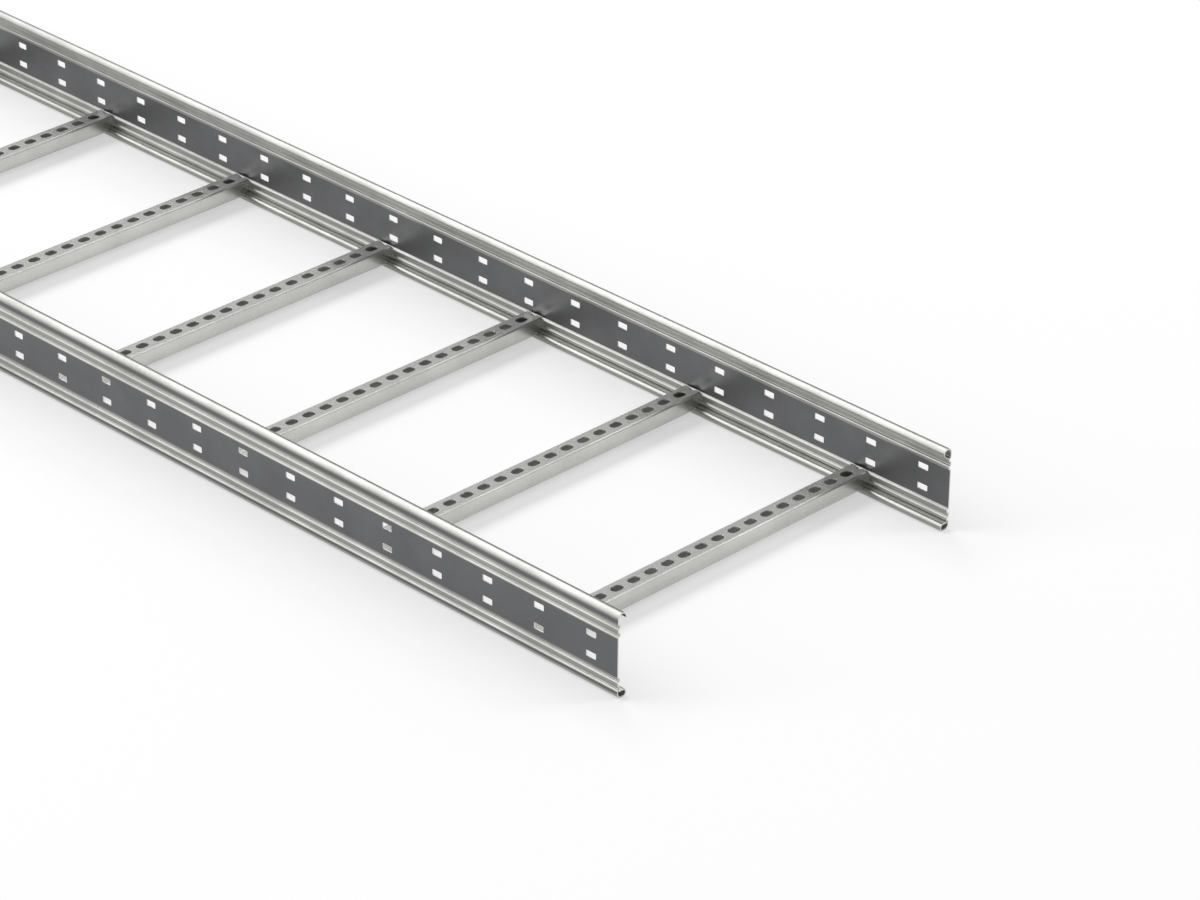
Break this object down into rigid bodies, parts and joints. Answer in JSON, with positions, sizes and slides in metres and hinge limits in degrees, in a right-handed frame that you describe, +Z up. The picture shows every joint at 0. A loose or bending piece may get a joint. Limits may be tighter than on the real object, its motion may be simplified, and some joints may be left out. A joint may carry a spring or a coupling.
{
  "type": "cable ladder section",
  "caption": "Straight metal cable ladder section: ribbed, beaded and slotted side rails joined by perforated channel rungs.",
  "frame": {"origin": "on the ground, under the middle of the section", "axes": "+X along the ladder, +Y across it towards the left rail, +Z up out of the channel"},
  "size_m": [3, 0.5, 0.099],
  "materials": {
    "rail_steel": "smooth zinc-coated strip, satin",
    "rung_steel": "smooth zinc-coated strip, satin"
  },
  "bodies": {
    "root": {"side_rail_left": "rail_steel", "side_rail_right": "rail_steel", "rung_01": "rung_steel", "rung_02": "rung_steel", "rung_03": "rung_steel", "rung_04": "rung_steel", "rung_05": "rung_steel", "rung_06": "rung_steel", "rung_07": "rung_steel", "rung_08": "rung_steel", "rung_09": "rung_steel", "rung_10": "rung_steel", "rung_11": "rung_steel", "rung_12": "rung_steel"}
  },
  "joints": []
}
